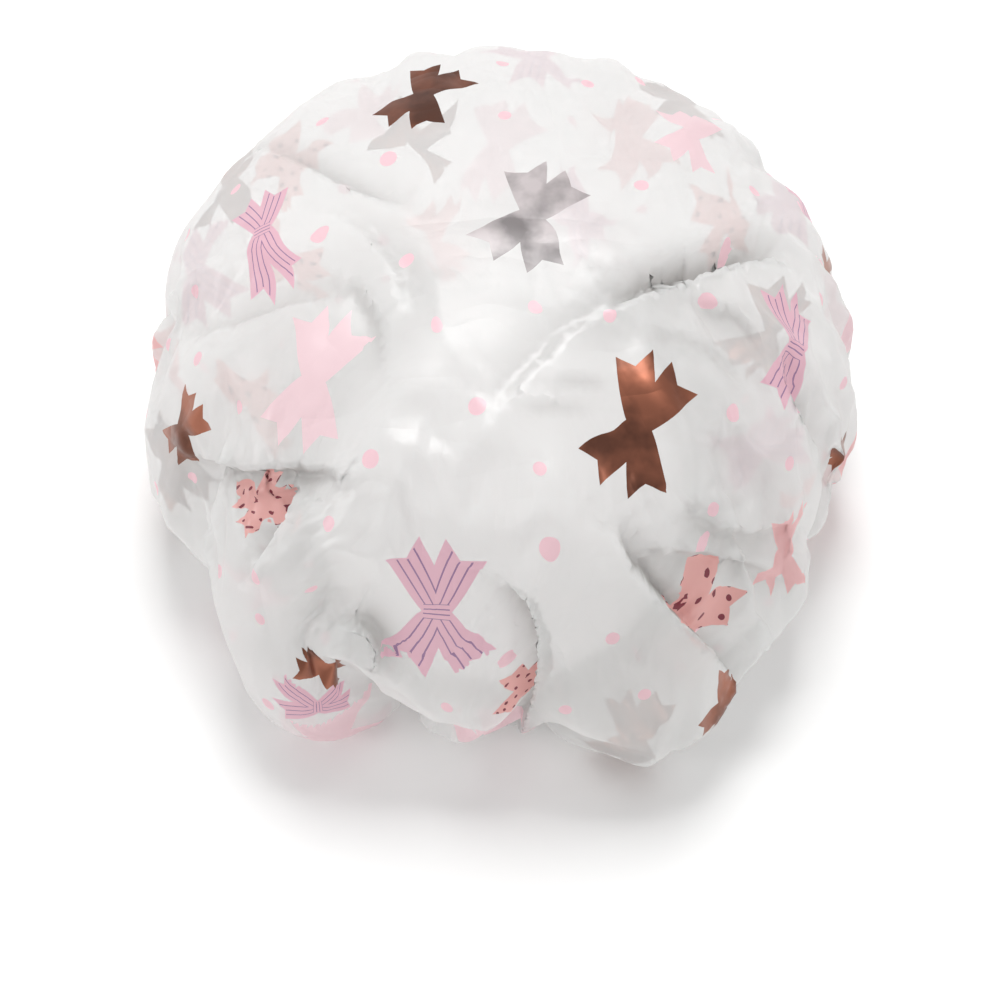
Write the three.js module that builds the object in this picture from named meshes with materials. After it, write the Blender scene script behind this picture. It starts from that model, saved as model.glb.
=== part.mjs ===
// A gathered shower cap of thin printed film, in the shape it takes on a head, in millimetres.
// +Z runs up through the crown, +Y points to the forehead and -Y to the nape.
// The origin is the centre of the head opening, level with the middle of the elastic.

import * as THREE from 'three';
import { mergeVertices } from 'three/addons/utils/BufferGeometryUtils.js';

// Head opening, the oval that the elastic makes round a head
const openingHalfWidth = 74;
const openingHalfDepth = 91;

// Film and the space left between touching pieces
const filmThickness = 0.1;
const fitGap = 0.3;

// Bonnet, the full body of film over the head
const crownHeight = 148;
const bulgeHalfWidth = 125;
const bulgeHalfDepth = 130;
const bulgeForward = 8;
const bulgeHeight = 39;
const bulgeNapeDrop = 11;
const sagReach = 23;
const sagNapeShortfall = 10;
const sagDepth = 6.5;
const sagNapeDrop = 4;
const domeFullnessShare = 0.83;

// Corners of the facets stand a little outside the film's curve, so that the flats lie along it
const facetAllowance = 1.2;

// Gathers, broad lobes that divide into fine pleats at the hem
const lobeSwell = 10.2;
const pleatHeight = 2.2;
const rollOffShare = 0.35;

// Crown fold, where the film behind the crown laps over the film in front of it
const foldHeight = 8;
const foldDipShare = 0.45;
const foldRiseWidth = 24;
const foldDipWidth = 16;
const foldReach = 46;
const foldCentreAcross = 67;
const foldCentreAlong = 4;
const foldTurnDeg = 37;

// Elastic band and its lapped join
const elasticWidth = 5;
const elasticThickness = 0.6;
const joinStitchCount = 6;
const joinStitchWidth = 3.4;

// Hem, the film's edge turned in round the elastic and sewn above it
const hemTop = 8.5;
const hemPlyGap = 0.4;
const threadDiameter = 0.3;

// Each lobe lies between two valleys. Azimuths in degrees, from +X towards +Y.
const valleyAzimuths = [-147, -113, -80, -46, -34, -12, 12, 40, 68, 107, 136, 176, 200];
const valleyDepthShares = [1.5, 1.9, 1.5, 1, 1.2, 1.2, 0.6, 1, 0.7, 1.2, 0, 2.4, 1];
const lobeSwellShares = [1.9, -0.4, 1.9, 0.8, 0.1, 0.8, 1.2, 1.5, 1, 1.1, 1.1, 1.3, -0.6];

// Beside the nape the film runs straight up from the hem, and hangs no lower than it
const tuckAzimuthDeg = -112;
const tuckWidthDeg = 13;

// Steps across a lobe, from its valley: how far the film swells, and which way its pleats turn
const lobeShapeShares = [0, 0.77, 1, 0.77];
const crestShare = 0.85;
const pleatTurns = [1, -1, 1, -1];
const stepsPerLobe = lobeShapeShares.length;
const lobeCount = valleyAzimuths.length;
const aroundCount = lobeCount * stepsPerLobe;

// Rings of the bonnet from the crown to the hem: the angle down the dome, then the share of the
// way round the underside, with how much of the lobes and pleats each ring carries
const domeRings = [
  { angle: 24, every: 4, lobeShare: 0 },
  { angle: 47, every: 2, lobeShare: 0.05 },
  { angle: 69, every: 1, lobeShare: 0.4 },
  { angle: 90, every: 1, lobeShare: 1 },
];
const underRings = [
  { turn: 45, lobeShare: 0.95, pleatShare: 0, allowanceShare: 2 },
  { turn: 90, lobeShare: 0.5, pleatShare: 0.5, allowanceShare: 0 },
];
const gatherRing = { wayShare: 0.5, lobeShare: 0.2, pleatShare: 1 };

const radians = THREE.MathUtils.degToRad;

// Turns a step number round the cap into an azimuth, so that steps fall on valleys and crests
function azimuthOf(step) {
  const wrapped = ((step % aroundCount) + aroundCount) % aroundCount;
  const lobe = Math.floor(wrapped / stepsPerLobe);
  const start = valleyAzimuths[lobe];
  const last = lobe === lobeCount - 1;
  const end = last ? valleyAzimuths[0] + 360 : valleyAzimuths[lobe + 1];
  return radians(start + (end - start) * (wrapped % stepsPerLobe) / stepsPerLobe);
}

// A lobe's swell stands out from the bonnet, and a valley lies behind it
function swellOf(step) {
  const lobe = Math.floor(step / stepsPerLobe);
  const across = step % stepsPerLobe;
  const here = valleyDepthShares[lobe];
  const next = valleyDepthShares[(lobe + 1) % lobeCount];
  const valley = THREE.MathUtils.lerp(here, next, across / stepsPerLobe);
  const hump = lobeShapeShares[across];
  return hump * crestShare * lobeSwellShares[lobe] - (1 - hump) * valley;
}

// A place beside the opening's oval: stands off by a distance along the oval's own normal
function hemPoint(step, standOff, height) {
  const azimuth = azimuthOf(step);
  const across = Math.cos(azimuth);
  const along = Math.sin(azimuth);
  const normal = new THREE.Vector3(across / openingHalfWidth, along / openingHalfDepth, 0).normalize();
  const point = new THREE.Vector3(openingHalfWidth * across, openingHalfDepth * along, height);
  return point.addScaledVector(normal, standOff);
}

// The crown fold raises the film on the far side of a slanting line and lets it dip on the near side
function foldLift(x, y) {
  const turn = radians(foldTurnDeg);
  const fromCentreX = x - foldCentreAcross;
  const fromCentreY = y - foldCentreAlong;
  const alongFold = fromCentreX * Math.cos(turn) + fromCentreY * Math.sin(turn);
  const acrossFold = -fromCentreX * Math.sin(turn) + fromCentreY * Math.cos(turn);
  const height = foldHeight * Math.exp(-((alongFold / foldReach) ** 4));
  if (acrossFold > 0) return height * Math.exp(-acrossFold / foldRiseWidth);
  return -height * foldDipShare * Math.exp(acrossFold / foldDipWidth);
}

// Ring points of the film's outside face, crown first
function domeRing({ angle, every, lobeShare }) {
  const down = radians(angle);
  const spread = Math.sin(down) ** domeFullnessShare;
  const rise = Math.cos(down) ** domeFullnessShare;
  const ring = [];
  for (let step = 0; step < aroundCount; step += every) {
    const azimuth = azimuthOf(step);
    const swell = lobeSwell * lobeShare * swellOf(step) + facetAllowance;
    const x = (bulgeHalfWidth + swell) * spread * Math.cos(azimuth);
    const y = (bulgeHalfDepth + swell) * spread * Math.sin(azimuth);
    const waist = bulgeHeight + bulgeNapeDrop * Math.sin(azimuth) * spread;
    const z = waist + (crownHeight + facetAllowance - waist) * rise;
    ring.push(new THREE.Vector3(x, y + bulgeForward, z + foldLift(x, y)));
  }
  return ring;
}

// How much of its sag the film keeps at a step, which is all but none at the tuck
function sagShare(step) {
  const fromTuck = THREE.MathUtils.radToDeg(azimuthOf(step)) - tuckAzimuthDeg;
  const halfTurn = 180;
  const wrapped = THREE.MathUtils.euclideanModulo(fromTuck + halfTurn, 2 * halfTurn) - halfTurn;
  return 1 - Math.exp(-((wrapped / tuckWidthDeg) ** 2));
}

// Lowest point of the film beside the hem, which hangs lower and closer at the nape
function sagPoint(step, swell) {
  const forward = Math.sin(azimuthOf(step));
  const reach = sagReach + sagNapeShortfall * forward;
  const depth = (sagDepth - sagNapeDrop * forward) * sagShare(step);
  return hemPoint(step, reach + swell, -depth);
}

function underRing({ turn, lobeShare, pleatShare, allowanceShare }) {
  const round = radians(turn);
  const ring = [];
  for (let step = 0; step < aroundCount; step += 1) {
    const azimuth = azimuthOf(step);
    const swell = lobeSwell * lobeShare * swellOf(step) + facetAllowance * allowanceShare;
    const sag = sagPoint(step, 0);
    const waist = new THREE.Vector3(
      bulgeHalfWidth * Math.cos(azimuth),
      bulgeHalfDepth * Math.sin(azimuth) + bulgeForward,
      bulgeHeight + bulgeNapeDrop * Math.sin(azimuth),
    );
    const outwards = new THREE.Vector3(Math.cos(azimuth), Math.sin(azimuth), 0);
    const point = sag.clone();
    point.x += (waist.x - sag.x) * Math.cos(round);
    point.y += (waist.y - sag.y) * Math.cos(round);
    point.z = waist.z - (waist.z - sag.z) * Math.sin(round);
    point.addScaledVector(outwards, swell);
    point.z += pleatHeight * pleatShare * pleatTurns[step % stepsPerLobe];
    ring.push(point);
  }
  return ring;
}

function gatherRingPoints({ wayShare, lobeShare, pleatShare }) {
  const ring = [];
  for (let step = 0; step < aroundCount; step += 1) {
    const swell = lobeSwell * lobeShare * swellOf(step);
    const sag = sagPoint(step, swell);
    const top = hemPoint(step, 0, hemTop);
    const point = sag.clone().lerp(top, wayShare);
    const fall = wayShare ** rollOffShare;
    point.z = sag.z + (top.z - sag.z) * fall;
    point.z += pleatHeight * pleatShare * pleatTurns[step % stepsPerLobe];
    ring.push(point);
  }
  return ring;
}

// Pocket faces, measured from the middle of the elastic
const lappedStandOff = elasticThickness + fitGap;
const pocketInner = -(elasticThickness / 2 + fitGap);
const joinThreadStandOff = lappedStandOff + elasticThickness / 2 + fitGap + threadDiameter / 2;
const pocketOuter = joinThreadStandOff + threadDiameter / 2 + fitGap;
const pocketHalfHeight = elasticWidth / 2 + fitGap;

// The hem's outside face goes down beside the elastic, under it and up again on the head's side
function hemRings() {
  const path = [
    [hemPlyGap / 2 + filmThickness, hemTop],
    [pocketOuter + filmThickness, pocketHalfHeight],
    [pocketOuter + filmThickness, -pocketHalfHeight],
    [pocketInner - filmThickness, -pocketHalfHeight],
    [pocketInner - filmThickness, pocketHalfHeight],
    [-hemPlyGap / 2 - filmThickness, hemTop],
  ];
  return path.map(([standOff, height]) => {
    const ring = [];
    for (let step = 0; step < aroundCount; step += 1) {
      ring.push(hemPoint(step, standOff, height));
    }
    return ring;
  });
}

// Triangles between two rings, where the second has as many points as the first or twice as many
function bandTriangles(first, firstCount, second, secondCount) {
  const triangles = [];
  const ratio = secondCount / firstCount;
  for (let step = 0; step < firstCount; step += 1) {
    const next = (step + 1) % firstCount;
    const below = step * ratio;
    const belowEnd = (below + ratio) % secondCount;
    if (ratio === 2) {
      triangles.push([first + step, second + below, second + below + 1]);
      triangles.push([first + step, second + below + 1, first + next]);
      triangles.push([first + next, second + below + 1, second + belowEnd]);
    } else {
      triangles.push([first + step, second + below, first + next]);
      triangles.push([first + next, second + below, second + belowEnd]);
    }
  }
  return triangles;
}

function geometryFrom(points, triangles) {
  const geometry = new THREE.BufferGeometry();
  geometry.setAttribute('position', new THREE.Float32BufferAttribute(points.flatMap((p) => [p.x, p.y, p.z]), 3));
  geometry.setIndex(triangles.flat());
  geometry.computeVertexNormals();
  return geometry;
}

// Film: one sheet from the crown to the turned edge, given its thickness on the inside
function filmGeometry() {
  const crown = new THREE.Vector3(0, bulgeForward, crownHeight);
  const rings = [
    ...domeRings.map(domeRing),
    ...underRings.map(underRing),
    gatherRingPoints(gatherRing),
    ...hemRings(),
  ];
  const outside = [crown];
  const starts = [];
  for (const ring of rings) {
    starts.push(outside.length);
    outside.push(...ring);
  }
  const face = [];
  const top = rings[0].length;
  for (let step = 0; step < top; step += 1) {
    face.push([0, starts[0] + step, starts[0] + (step + 1) % top]);
  }
  for (let band = 1; band < rings.length; band += 1) {
    const upper = rings[band - 1].length;
    const lower = rings[band].length;
    face.push(...bandTriangles(starts[band - 1], upper, starts[band], lower));
  }
  const skin = geometryFrom(outside, face);
  const normals = skin.getAttribute('normal');
  const inside = outside.map((point, index) => {
    const normal = new THREE.Vector3().fromBufferAttribute(normals, index);
    return point.clone().addScaledVector(normal, -filmThickness);
  });
  const offset = outside.length;
  const back = face.map(([a, b, c]) => [a + offset, c + offset, b + offset]);
  const edge = starts[starts.length - 1];
  const rim = bandTriangles(edge, aroundCount, edge + offset, aroundCount);
  return geometryFrom([...outside, ...inside], [...face, ...back, ...rim]);
}

// Sweeps a section round the hem. Each stop gives the step, the stand-off and the height.
function sweepRoundHem(stops, section, closed) {
  const points = [];
  for (const { step, standOff, height } of stops) {
    for (const [out, up] of section) {
      points.push(hemPoint(step, standOff + out, height + up));
    }
  }
  const sides = section.length;
  const triangles = [];
  const lengths = closed ? stops.length : stops.length - 1;
  for (let stop = 0; stop < lengths; stop += 1) {
    const here = stop * sides;
    const there = ((stop + 1) % stops.length) * sides;
    for (let side = 0; side < sides; side += 1) {
      const next = (side + 1) % sides;
      triangles.push([here + side, here + next, there + side]);
      triangles.push([there + side, here + next, there + next]);
    }
  }
  if (!closed) {
    const last = (stops.length - 1) * sides;
    for (let side = 1; side < sides - 1; side += 1) {
      triangles.push([0, side + 1, side]);
      triangles.push([last, last + side, last + side + 1]);
    }
  }
  return geometryFrom(points, triangles);
}

// Elastic: one strip round the opening, whose last stretch lies outside its first
const joinStart = 35;
const joinSteps = 2;

function elasticGeometry() {
  const half = elasticThickness / 2;
  const tall = elasticWidth / 2;
  const section = [[-half, -tall], [-half, tall], [half, tall], [half, -tall]];
  const stops = [];
  for (let step = 0; step <= aroundCount + joinSteps; step += 1) {
    const lapped = step >= aroundCount;
    stops.push({ step: joinStart + step, standOff: lapped ? lappedStandOff : 0, height: 0 });
  }
  return sweepRoundHem(stops, section, false);
}

function threadSection() {
  const radius = threadDiameter / 2;
  const sides = 6;
  const section = [];
  for (let side = 0; side < sides; side += 1) {
    const turn = -side * 2 * Math.PI / sides;
    section.push([radius * Math.cos(turn), radius * Math.sin(turn)]);
  }
  return section;
}

// Join stitches: a zigzag of thread on the outer face of the lapped ends
function joinStitchGeometry() {
  const start = hemPoint(joinStart, joinThreadStandOff, 0);
  const end = hemPoint(joinStart + 1, joinThreadStandOff, 0);
  const turns = [];
  for (let stitch = 0; stitch <= joinStitchCount; stitch += 1) {
    const share = (stitch + 1) / (joinStitchCount + 2);
    const turn = start.clone().lerp(end, share);
    turn.z = joinStitchWidth / 2 * (stitch % 2 === 0 ? 1 : -1);
    turns.push(turn);
  }
  const route = new THREE.CatmullRomCurve3(turns, false, 'centripetal');
  const outline = new THREE.Shape(threadSection().map(([a, b]) => new THREE.Vector2(a, b)));
  const stepsPerStitch = 6;
  const tube = new THREE.ExtrudeGeometry(outline, {
    steps: joinStitchCount * stepsPerStitch,
    bevelEnabled: false,
    extrudePath: route,
  });
  tube.deleteAttribute('normal');
  tube.deleteAttribute('uv');
  return mergeVertices(tube);
}

// Hem threads: the needle thread on the outer ply and the bobbin thread on the head's side
const seamShare = 0.5;

function hemThreadGeometry(topStandOff, pocketStandOff, side) {
  const run = new THREE.Vector2(pocketStandOff - topStandOff, pocketHalfHeight - hemTop);
  const facing = new THREE.Vector2(-run.y, run.x).normalize();
  const clear = fitGap + threadDiameter / 2;
  const standOff = topStandOff + run.x * seamShare + side * facing.x * clear;
  const height = hemTop + run.y * seamShare + side * facing.y * clear;
  const stops = [];
  for (let step = 0; step < aroundCount; step += 1) {
    stops.push({ step, standOff, height });
  }
  return sweepRoundHem(stops, threadSection(), true);
}

// Finishes
const filmFinish = new THREE.MeshStandardMaterial({
  color: 0xe9e9e7, roughness: 0.38, metalness: 0, transparent: true, opacity: 0.8, side: THREE.DoubleSide,
});
const elasticFinish = new THREE.MeshStandardMaterial({ color: 0xf4f3ef, roughness: 0.8, metalness: 0 });
const joinThreadFinish = new THREE.MeshStandardMaterial({ color: 0xf7f6f2, roughness: 0.7, metalness: 0 });
const hemThreadFinish = new THREE.MeshStandardMaterial({ color: 0xfafafa, roughness: 0.6, metalness: 0 });

function named(name, geometry, finish) {
  const mesh = new THREE.Mesh(geometry, finish);
  mesh.name = name;
  return mesh;
}

const cap = new THREE.Group();
cap.name = 'shower_cap';
cap.add(named('cap_film', filmGeometry(), filmFinish));
cap.add(named('elastic_band', elasticGeometry(), elasticFinish));
cap.add(named('elastic_join_thread', joinStitchGeometry(), joinThreadFinish));

const outerPly = hemPlyGap / 2 + filmThickness;
const outerPocket = pocketOuter + filmThickness;
cap.add(named('hem_needle_thread', hemThreadGeometry(outerPly, outerPocket, 1), hemThreadFinish));

const innerPly = -hemPlyGap / 2 - filmThickness;
const innerPocket = pocketInner - filmThickness;
cap.add(named('hem_bobbin_thread', hemThreadGeometry(innerPly, innerPocket, -1), hemThreadFinish.clone()));

export default cap;
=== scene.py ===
# %% [markdown]
# A gathered shower cap: one thin disc of frosted, printed film with an elastic sewn into its edge.
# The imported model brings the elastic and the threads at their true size. The film in it is only a
# faceted stand-in, so this lesson makes the film again as one sheet of cloth: it cuts the sheet
# loose, lets a cloth simulation gather it into the worn shape, folds its hem round the elastic,
# and prints bows and dots on it.

import math

import bpy
import numpy as np
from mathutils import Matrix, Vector
from mathutils.bvhtree import BVHTree


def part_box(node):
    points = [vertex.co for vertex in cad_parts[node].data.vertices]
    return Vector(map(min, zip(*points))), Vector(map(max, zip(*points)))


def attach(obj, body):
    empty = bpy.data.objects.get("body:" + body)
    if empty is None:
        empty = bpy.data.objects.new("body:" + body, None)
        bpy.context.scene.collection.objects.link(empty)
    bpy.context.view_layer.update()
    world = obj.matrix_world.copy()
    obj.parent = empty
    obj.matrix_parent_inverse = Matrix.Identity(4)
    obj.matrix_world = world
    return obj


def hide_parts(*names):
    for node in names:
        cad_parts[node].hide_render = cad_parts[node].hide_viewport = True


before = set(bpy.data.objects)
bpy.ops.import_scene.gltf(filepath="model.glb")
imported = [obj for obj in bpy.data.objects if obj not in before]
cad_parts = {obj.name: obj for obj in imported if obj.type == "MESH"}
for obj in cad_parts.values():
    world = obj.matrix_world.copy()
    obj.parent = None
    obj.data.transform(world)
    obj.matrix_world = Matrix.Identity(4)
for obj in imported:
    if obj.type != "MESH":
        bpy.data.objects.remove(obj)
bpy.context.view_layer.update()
bpy.ops.object.select_all(action="DESELECT")
mm = 0.001
film_low, film_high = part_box("cap_film")
print("film box, mm:", [round(v / mm, 1) for v in (*film_low, *film_high)])

# %% [markdown]
# The camera stands behind the cap, on the nape's side, and looks down on the crown.
# Its distance and lens were found by laying the model's outline over the photograph's.
# It aims a little below the cap, because the photograph holds the cap in its upper part.

# %% Camera
picture_width = 1000
camera_elevation = math.radians(56)
camera_distance = 1.154
pixels_per_metre = 2763
middle_of_cap = Vector((0, 0.0074, 0.0646))
middle_pixel = Vector((500, 370))
sensor_width = 36

towards_camera = Vector((0, -math.cos(camera_elevation), math.sin(camera_elevation)))
picture_up = Vector((0, math.sin(camera_elevation), math.cos(camera_elevation)))
aim = middle_of_cap - picture_up * ((picture_width / 2 - middle_pixel.y) / pixels_per_metre)
camera_place = middle_of_cap + towards_camera * camera_distance
focal_pixels = pixels_per_metre * camera_distance

camera = bpy.data.objects.new("camera", bpy.data.cameras.new("camera"))
bpy.context.collection.objects.link(camera)
camera.location = camera_place
camera.rotation_euler = (camera_place - aim).to_track_quat("Z", "Y").to_euler()
camera.data.sensor_width = sensor_width
camera.data.lens = focal_pixels * sensor_width / picture_width
bpy.context.scene.camera = camera
print("lens, mm:", round(camera.data.lens, 1))


def ray_through(pixel):
    """Direction from the camera through a pixel of the 1000 by 1000 picture."""
    half = picture_width / 2
    across = (pixel[0] - half) / focal_pixels
    up = (half - pixel[1]) / focal_pixels
    return (camera.rotation_euler.to_matrix() @ Vector((across, up, -1))).normalized()


# %% [markdown]
# Frosted film shows its folds by soft light that skims over them, and it glows where light comes
# through. So one broad light hangs above the cap, a little beyond its crown as the camera sees
# it, and skims back over the folds. Weak ones fill the left and the right, and an even pale
# world lights everything else. The floor is a plain pale sheet.

# %% Floor and lights
floor_gap = 0.5 * mm
floor_size = 6.0
bpy.ops.mesh.primitive_plane_add(size=floor_size, location=(0, 0, film_low.z - floor_gap))
floor = bpy.context.active_object
floor.name = "floor"
floor_material = bpy.data.materials.new("pale floor")
floor_material.use_nodes = True
floor_shader = floor_material.node_tree.nodes["Principled BSDF"]
floor_shader.inputs["Base Color"].default_value = (0.93, 0.93, 0.925, 1)
floor_shader.inputs["Roughness"].default_value = 0.9
floor.data.materials.append(floor_material)
bpy.ops.object.select_all(action="DESELECT")


def add_light(name, place, size, watts):
    lamp = bpy.data.lights.new(name, "AREA")
    lamp.energy = watts
    lamp.size = size
    light = bpy.data.objects.new(name, lamp)
    light.location = place
    light.rotation_euler = (Vector(place) - middle_of_cap).to_track_quat("Z", "Y").to_euler()
    bpy.context.collection.objects.link(light)


add_light("key light", (0, 0.45, 1.35), 0.6, 15)
add_light("left fill", (-1.5, -0.5, 0.6), 0.5, 6)
add_light("right fill", (1.4, -0.8, 0.6), 0.5, 3)

world = bpy.data.worlds.new("pale room")
world.use_nodes = True
world.node_tree.nodes["Background"].inputs["Color"].default_value = (1, 1, 1, 1)
world.node_tree.nodes["Background"].inputs["Strength"].default_value = 0.55
bpy.context.scene.world = world
bpy.context.scene.view_settings.view_transform = "Standard"

# %% [markdown]
# The worn shape comes first, as a smooth goal for the film. It could be sculpted, but a formula
# keeps it tied to the sizes: lines run down the film from the crown, out to the fullest place,
# round under it and in to the hem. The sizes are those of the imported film, and the billows
# between the valleys are those that the photograph shows.

# %% Worn shape of the film
opening_half_width = 74 * mm
opening_half_depth = 91 * mm
hem_top = 8.5 * mm
crown_height = film_high.z
bulge_half_width = 125 * mm
bulge_half_depth = 130 * mm
bulge_forward = 8 * mm
bulge_height = 39 * mm
bulge_nape_drop = 11 * mm
sag_reach = 23 * mm
sag_nape_shortfall = 10 * mm
sag_depth = 6.5 * mm
sag_nape_drop = 4 * mm
dome_fullness_share = 0.83
roll_off_share = 0.35
lobe_swell = 10.2 * mm
# Degrees down the dome where the billows begin, and over which they grow to their full swell
lobe_start = 35
lobe_growth = 55
lobe_growth_power = 1.6
# Under the fullest place they lose half of their swell, and the rest on the way in to the hem
under_swell_share = 0.5
under_loss_power = 1.5

# Each billow lies between two valleys. Azimuths in degrees, from +X towards +Y.
valley_azimuths = np.array([-147, -113, -80, -46, -34, -12, 12, 40, 68, 107, 136, 176, 200])
valley_depth_shares = np.array([1.5, 1.9, 1.5, 1, 1.2, 1.2, 0.6, 1, 0.7, 1.2, 0, 2.4, 1])
lobe_swell_shares = np.array([1.9, -0.4, 1.9, 0.8, 0.1, 0.8, 1.2, 1.5, 1, 1.1, 1.1, 1.3, -0.6])
lobe_round_share = 0.75
lobe_crest_share = 0.85

# Beside the nape the film runs straight up from the hem, and hangs no lower than it
tuck_azimuth = -112
tuck_width = 13


def billow_wave(azimuth):
    """How far the film swells, from -1 or so in a valley to 2 or so on a billow."""
    start = valley_azimuths[0]
    degrees = (np.degrees(azimuth) - start) % 360 + start
    edges = np.append(valley_azimuths, start + 360)
    lobe = np.clip(np.searchsorted(edges, degrees, side="right") - 1, 0, len(valley_azimuths) - 1)
    across = (degrees - edges[lobe]) / (edges[lobe + 1] - edges[lobe])
    depth = np.append(valley_depth_shares, valley_depth_shares[0])
    valley = depth[lobe] * (1 - across) + depth[lobe + 1] * across
    hump = np.sin(np.pi * across) ** lobe_round_share
    return hump * lobe_swell_shares[lobe] * lobe_crest_share - (1 - hump) * valley


def sag_share(azimuth):
    """How much of its sag the film keeps beside the hem."""
    from_tuck = (np.degrees(azimuth) - tuck_azimuth + 180) % 360 - 180
    return 1 - np.exp(-((from_tuck / tuck_width) ** 2))


def beside_opening(azimuth, stand_off, height):
    """A place beside the opening's oval, off it by a distance along the oval's own normal."""
    cosine, sine = np.cos(azimuth), np.sin(azimuth)
    normal = np.stack([cosine / opening_half_width, sine / opening_half_depth], -1)
    normal /= np.linalg.norm(normal, axis=-1, keepdims=True)
    x = opening_half_width * cosine + stand_off * normal[..., 0]
    y = opening_half_depth * sine + stand_off * normal[..., 1]
    return np.stack([x, y, np.broadcast_to(height, x.shape)], -1)


# %% [markdown]
# One crease stands out on the crown: the film behind it laps over the film in front of it, in a
# slanting shelf. It is raised here as a step with a soft back, so that the sheet is also cut
# longer where it crosses the shelf, and the simulation has film to fold there.

# %% Crown fold
fold_height = 8 * mm
fold_overlap = 4 * mm
fold_reach = 46 * mm
fold_centre = np.array([67, 4]) * mm
fold_turn = math.radians(37)
fold_step = 3 * mm
fold_back_width = 24 * mm
fold_front_width = 16 * mm
fold_front_share = 0.45


fold_along_way = np.array([math.cos(fold_turn), math.sin(fold_turn)])
fold_across_way = np.array([-math.sin(fold_turn), math.cos(fold_turn)])


def along_and_across_fold(points):
    offset = points[..., :2] - fold_centre
    return offset @ fold_along_way, offset @ fold_across_way


def crown_fold(points):
    """How far each point moves for the shelf, as vectors."""
    along, across = along_and_across_fold(points)
    reach = np.exp(-((along / fold_reach) ** 4))
    behind = np.clip(np.tanh(across / fold_step), 0, 1) * np.exp(-np.abs(across) / fold_back_width)
    before = np.clip(-np.tanh(across / fold_step), 0, 1) * np.exp(-np.abs(across) / fold_front_width)
    move = np.zeros_like(points)
    move[..., 2] = fold_height * reach * (behind - fold_front_share * before)
    move[..., :2] -= (fold_overlap * reach * behind)[..., None] * fold_across_way
    return move * (points[..., 2:] > bulge_height)


# %% [markdown]
# Near the hem the film is drawn in to a third of its length. A wave laid over the lines, along
# the film's normal, gives the simulation its coarse gathers. The fine pleats come later, because
# they are narrower than its triangles.

# %% Gathers and lines down the film
gather_count = 23
gather_height = 5 * mm
gather_length = 95 * mm
# They rise from the hem within a third of that length
gather_rise = 3
gather_waver_share = 0.35
gather_waver_count = 7
lines_around = 1440
points_down = 160
dome_steps = 90
under_steps = 40
under_start = 3
hem_steps = 30
hem_start_share = 0.04
hem_ease_share = 0.3
# Size, count round the cap and start of the waves that make the pleats uneven
pleat_wanders = ((1.3, 5, 0), (0.9, 11, 1))


def pleat_wave(azimuth, count):
    """An uneven wave round the cap, because no two pleats of a gather are alike."""
    phase = count * azimuth
    for size, wander_count, start in pleat_wanders:
        phase = phase + size * np.sin(wander_count * azimuth + start)
    return np.sin(phase)


def worn_lines():
    """Points down the film at each azimuth, spaced evenly by length, and each line's length."""
    azimuth = np.linspace(0, 2 * np.pi, lines_around + 1)[:, None]
    cosine, sine = np.cos(azimuth), np.sin(azimuth)
    billow = billow_wave(azimuth)

    down = np.radians(np.linspace(0, 90, dome_steps))[None]
    spread = np.sin(down) ** dome_fullness_share
    rise = np.cos(down) ** dome_fullness_share
    growth = np.clip((np.degrees(down) - lobe_start) / lobe_growth, 0, 1) ** lobe_growth_power
    swell = lobe_swell * billow * growth
    waist = bulge_height + bulge_nape_drop * sine * spread
    dome = np.stack([
        (bulge_half_width + swell) * spread * cosine,
        (bulge_half_depth + swell) * spread * sine + bulge_forward,
        waist + (crown_height - waist) * rise,
    ], -1)

    under = np.radians(np.linspace(under_start, 90, under_steps))[None]
    reach = sag_reach + sag_nape_shortfall * sine
    depth = (sag_depth - sag_nape_drop * sine) * sag_share(azimuth)
    sag = beside_opening(azimuth, reach, -depth)
    swell = lobe_swell * billow * (1 - under_swell_share * (np.degrees(under) / 90) ** under_loss_power)
    waist = bulge_height + bulge_nape_drop * sine
    fullest_x = bulge_half_width * cosine
    fullest_y = bulge_half_depth * sine + bulge_forward
    side = np.stack([
        sag[..., 0] + (fullest_x - sag[..., 0]) * np.cos(under) + swell * cosine,
        sag[..., 1] + (fullest_y - sag[..., 1]) * np.cos(under) + swell * sine,
        waist - (waist + depth) * np.sin(under),
    ], -1)

    way = np.linspace(hem_start_share, 1, hem_steps)[None]
    hem = beside_opening(azimuth, 0, hem_top)
    drawn_in = sag + (hem - sag) * way[..., None]
    ease = np.clip(way / hem_ease_share, 0, 1)
    drawn_in[..., 2] = -depth + (hem_top + depth) * way ** roll_off_share * ease ** 2 * (3 - 2 * ease)
    outwards = beside_opening(azimuth, 1.0, 0) - beside_opening(azimuth, 0.0, 0)
    drawn_in += (lobe_swell * under_swell_share * (1 - way) * billow)[..., None] * outwards

    line = np.concatenate([dome, side, drawn_in], 1)
    line += crown_fold(line)
    even, length = spaced_evenly(line)
    from_hem = length[:, None] * np.linspace(1, 0, points_down)[None]
    tangent = np.gradient(even, axis=1)
    around = np.roll(even, -1, 0) - np.roll(even, 1, 0)
    around[0] = around[-1] = even[1] - even[-2]
    normal = np.cross(tangent, around)
    normal /= np.linalg.norm(normal, axis=-1, keepdims=True) + 1e-12
    from_hem = from_hem / gather_length
    gather_fade = np.clip(1 - from_hem, 0, 1) * np.clip(from_hem * gather_rise, 0, 1)
    ridges = 2 * np.abs(pleat_wave(azimuth, gather_count / 2)) - 1
    unevenness_round = 1 + gather_waver_share * np.sin(gather_waver_count * azimuth + 1)
    height = gather_height * gather_fade * ridges * unevenness_round
    return even + height[..., None] * normal, length


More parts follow.
